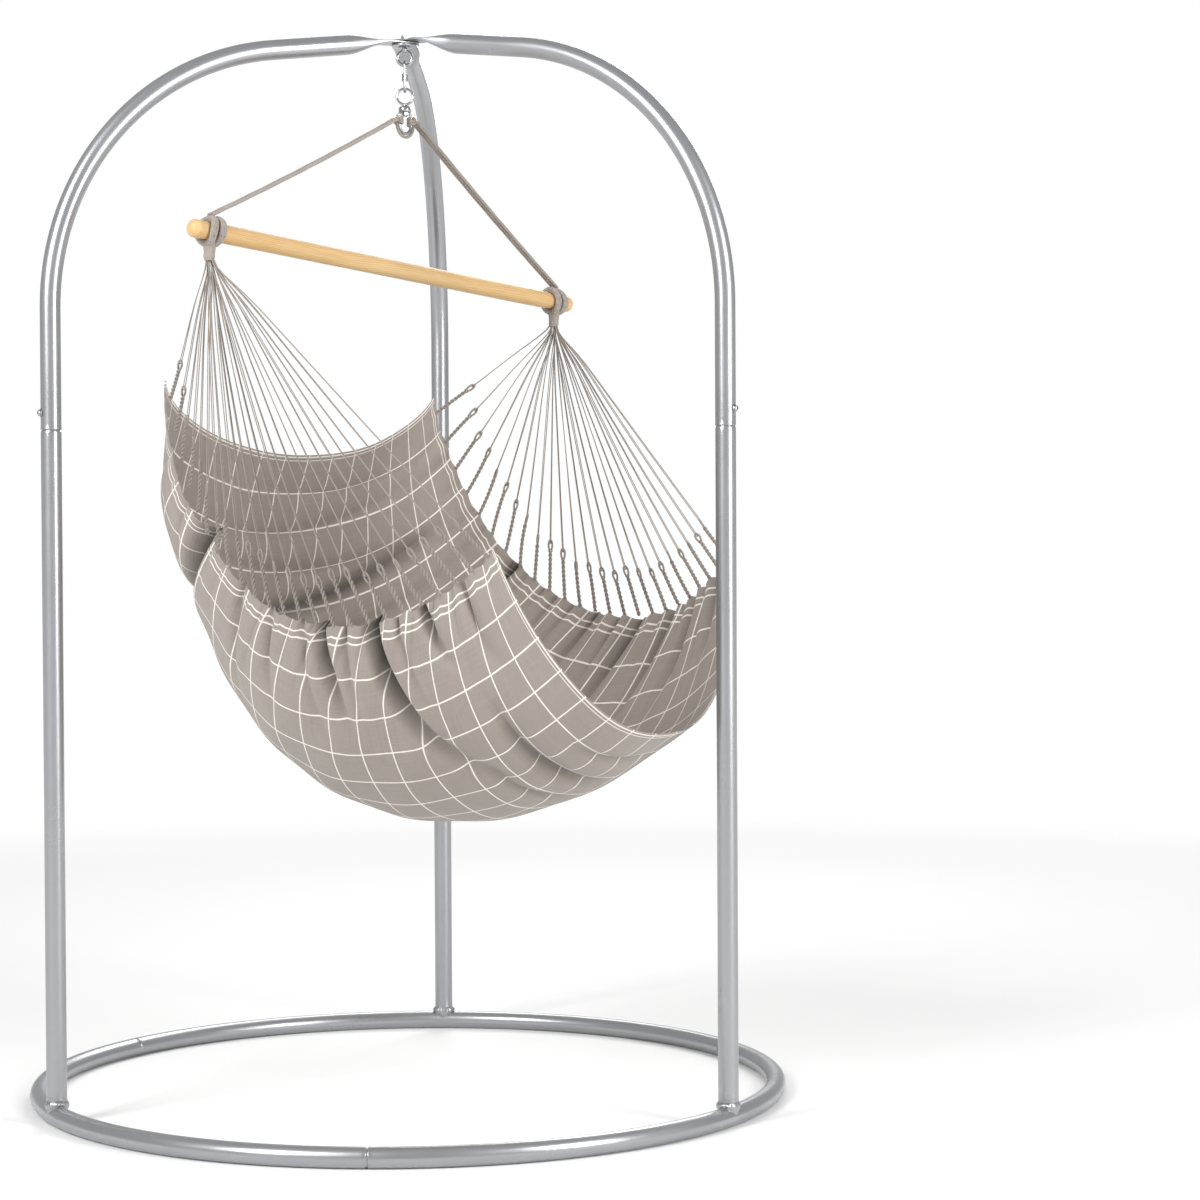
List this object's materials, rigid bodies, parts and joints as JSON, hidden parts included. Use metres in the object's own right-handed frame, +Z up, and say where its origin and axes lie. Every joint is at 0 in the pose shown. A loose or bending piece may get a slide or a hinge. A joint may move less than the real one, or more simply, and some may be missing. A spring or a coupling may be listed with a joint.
{
  "type": "hanging chair on stand",
  "caption": "Hammock chair with a wooden spreader bar, hung by a swivel from the arched arms of a round-based tube stand.",
  "frame": {"origin": "on the floor, at the middle of the base ring, under the eye bolt", "axes": "+Z up; +Y towards the rear leg; the other two legs stand at 120 degrees from it, towards -Y"},
  "size_m": [1.4768, 1.4847, 2.0776],
  "materials": {
    "powder_coat": "satin silver powder coat on round steel tube",
    "hardware_steel": "bright zinc-plated steel",
    "pine": "pale oiled softwood, turned round",
    "cotton_cord": "taupe twisted and braided cotton cord",
    "check_cotton": "taupe woven cotton with a thin off-white window-pane check"
  },
  "bodies": {
    "stand": {"arm_front_left": "powder_coat", "arm_front_right": "powder_coat", "arm_rear": "powder_coat", "base_arc_front_left": "powder_coat", "base_arc_front_right": "powder_coat", "base_arc_rear": "powder_coat", "eye_bolt": "hardware_steel", "hub_nut": "hardware_steel", "hub_washer_bottom": "hardware_steel", "hub_washer_top": "hardware_steel", "leg_screw_front_left": "hardware_steel", "leg_screw_front_right": "hardware_steel", "leg_screw_rear": "hardware_steel", "leg_spigot_front_left": "powder_coat", "leg_spigot_front_right": "powder_coat", "leg_spigot_rear": "powder_coat", "leg_washer_front_left": "hardware_steel", "leg_washer_front_right": "hardware_steel", "leg_washer_rear": "hardware_steel", "lower_leg_front_left": "powder_coat", "lower_leg_front_right": "powder_coat", "lower_leg_rear": "powder_coat"},
    "link": {"link_body": "hardware_steel"},
    "sleeve": {"link_sleeve": "hardware_steel"},
    "swivel": {"swivel_eye": "hardware_steel", "swivel_nut": "hardware_steel"},
    "chair": {"bow_knot_left": "cotton_cord", "bow_knot_right": "cotton_cord", "bridge_cord": "cotton_cord", "edge_loops_left": "cotton_cord", "edge_loops_right": "cotton_cord", "lashing_left": "cotton_cord", "lashing_right": "cotton_cord", "seat_cloth": "check_cotton", "spreader_bar": "pine", "string_fan_left": "cotton_cord", "string_fan_right": "cotton_cord", "suspension_cord_left_back": "cotton_cord", "suspension_cord_left_front": "cotton_cord", "suspension_cord_left_middle": "cotton_cord", "suspension_cord_right_back": "cotton_cord", "suspension_cord_right_front": "cotton_cord", "suspension_cord_right_middle": "cotton_cord", "swivel_bow": "hardware_steel"}
  },
  "joints": [
    {"name": "link_swing", "type": "hinge", "parent": "stand", "child": "link", "pos_m": [0, 0, 2.0177], "axis": [0.9945, 0.1045, 0], "range_deg": [-2, 2]},
    {"name": "sleeve_travel", "type": "slide", "parent": "link", "child": "sleeve", "axis": [0, 0, 1], "range_m": [-0.0113, 0]},
    {"name": "swivel_swing", "type": "hinge", "parent": "link", "child": "swivel", "pos_m": [0, 0, 1.9665], "axis": [-0.1045, 0.9945, 0], "range_deg": [-2, 2]},
    {"name": "chair_turn", "type": "hinge", "parent": "swivel", "child": "chair", "pos_m": [0, 0, 1.9325], "axis": [0, 0, 1], "continuous": true}
  ]
}
